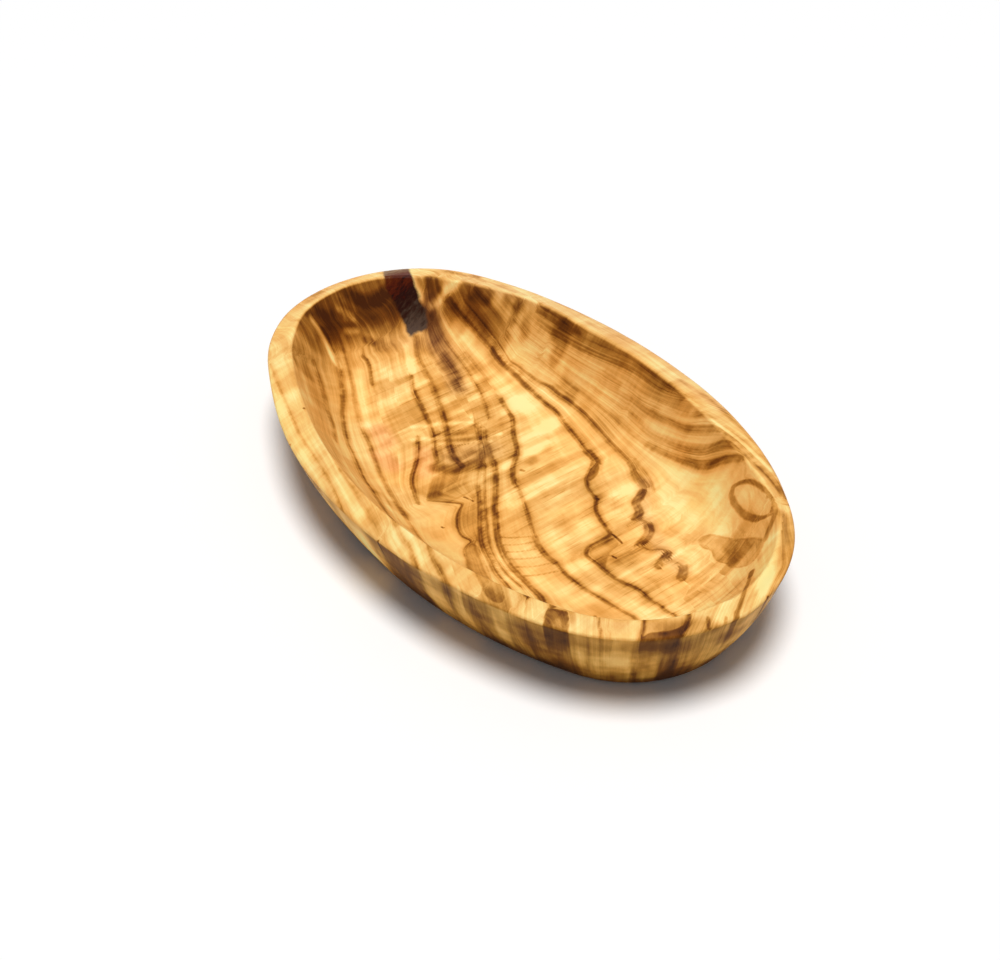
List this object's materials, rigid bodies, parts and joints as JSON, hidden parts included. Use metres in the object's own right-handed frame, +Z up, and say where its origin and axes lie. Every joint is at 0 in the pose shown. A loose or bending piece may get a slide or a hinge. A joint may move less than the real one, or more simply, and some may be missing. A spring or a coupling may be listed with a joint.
{
  "type": "olive wood dish",
  "caption": "Shallow oval serving dish carved from one block of olive wood, with a broad sloping rim, a smooth round-bottomed hollow and a flat base that narrows below the rim.",
  "frame": {"origin": "centre of the flat base, on the table", "axes": "+X along the dish's length, +Y across its width, +Z up out of the hollow"},
  "size_m": [0.16, 0.097, 0.0245],
  "materials": {
    "olive_wood": "oiled, softly glossy, figured grain"
  },
  "bodies": {
    "root": {"dish_body": "olive_wood"}
  },
  "joints": []
}
